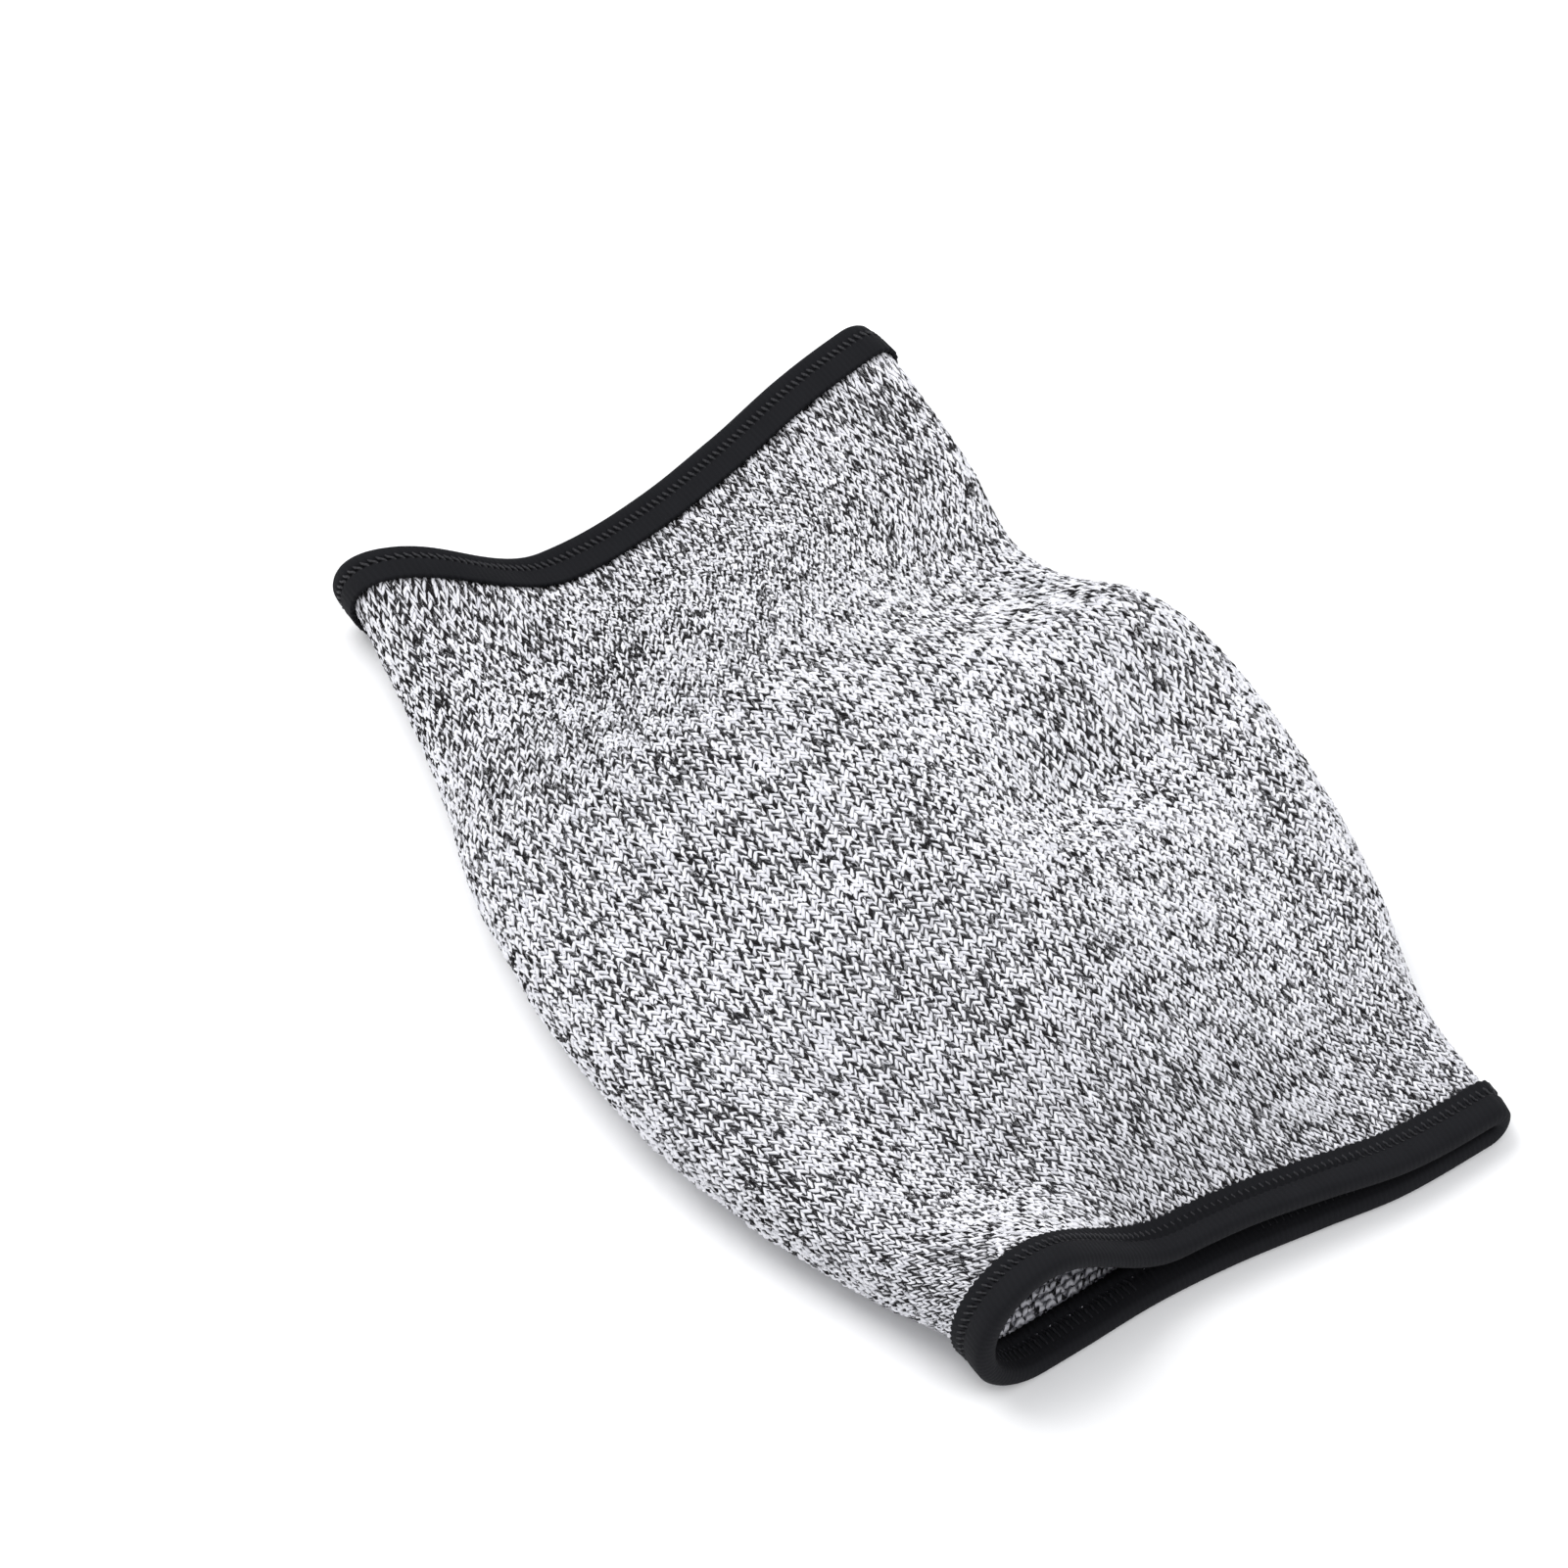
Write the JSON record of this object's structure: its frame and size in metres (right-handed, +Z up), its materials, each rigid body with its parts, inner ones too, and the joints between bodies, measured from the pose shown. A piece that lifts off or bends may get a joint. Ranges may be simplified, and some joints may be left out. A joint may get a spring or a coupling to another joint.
{
  "type": "cut resistant sleeve",
  "caption": "Hollow knitted forearm sleeve, swelling in the middle, with a dark elastic binding folded over each open end, lying flat on a table.",
  "frame": {"origin": "on the resting surface, below the middle of the sleeve's box", "axes": "+Y along the sleeve from the near cuff to the far cuff, +Z up from the surface that it lies on"},
  "size_m": [0.1458, 0.2232, 0.042],
  "materials": {
    "marl_knit": "matte",
    "elastic_binding": "matte"
  },
  "bodies": {
    "root": {"knit_body": "marl_knit", "near_binding": "elastic_binding", "far_binding": "elastic_binding"}
  },
  "joints": []
}
